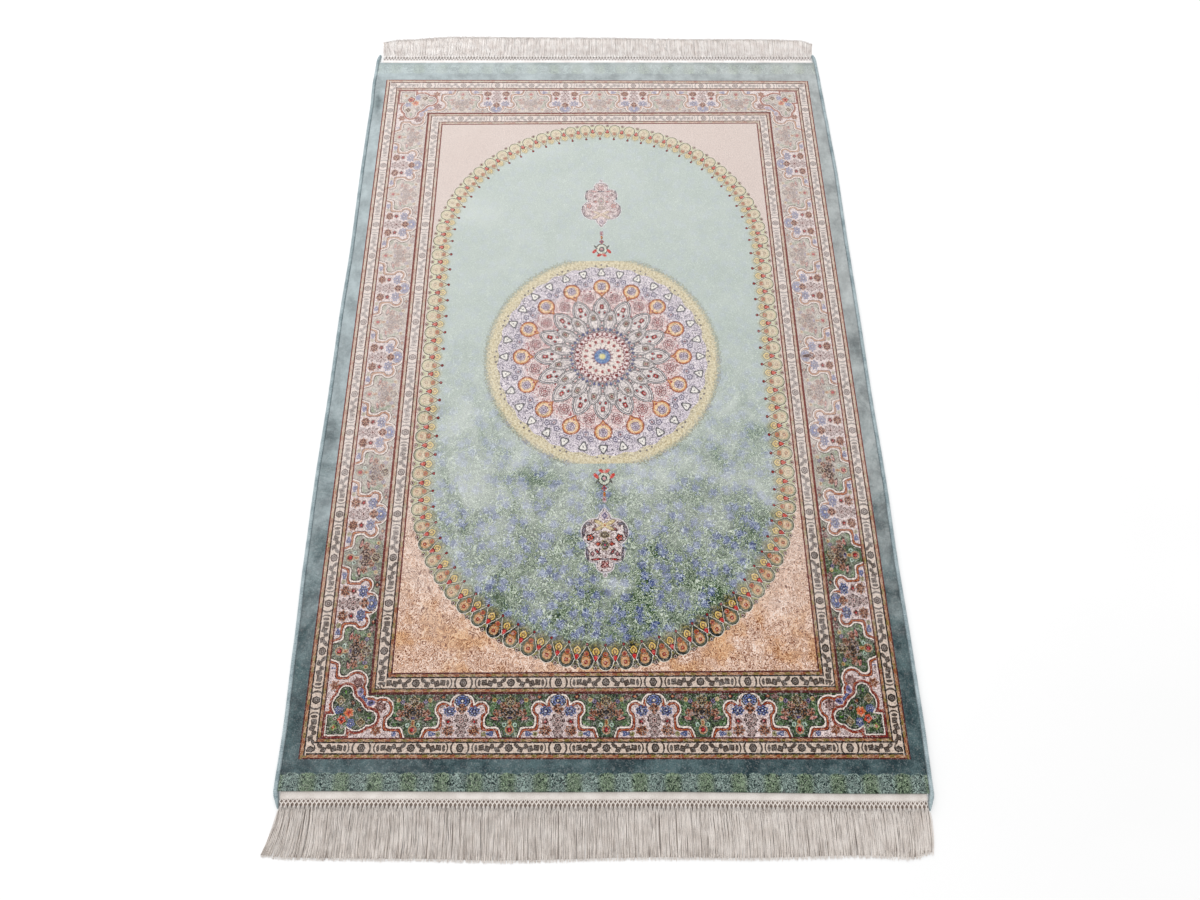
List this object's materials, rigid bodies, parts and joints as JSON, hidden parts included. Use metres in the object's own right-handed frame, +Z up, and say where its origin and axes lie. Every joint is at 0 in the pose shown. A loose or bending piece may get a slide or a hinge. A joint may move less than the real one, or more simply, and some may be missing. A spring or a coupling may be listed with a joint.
{
  "type": "persian rug",
  "caption": "Flat rectangular pile rug with a round medallion in an oval field, patterned borders, overcast long edges and a knotted fringe on each short end.",
  "frame": {"origin": "on the floor, under the middle of the pile cloth", "axes": "+Y along the rug's length towards the end that the picture shows farthest away, +X across it to the right, +Z up out of the pile"},
  "size_m": [0.807, 1.3337, 0.0064],
  "materials": {
    "pile": "dense short silky pile, celadon, teal and peach with multicoloured floral borders",
    "selvedge": "satin overcast yarn, pale grey blue",
    "fringe": "matte off-white cotton-like yarn"
  },
  "bodies": {
    "root": {"pile_cloth": "pile", "selvedge_left": "selvedge", "selvedge_right": "selvedge", "fringe_near": "fringe", "fringe_far": "fringe"}
  },
  "joints": []
}
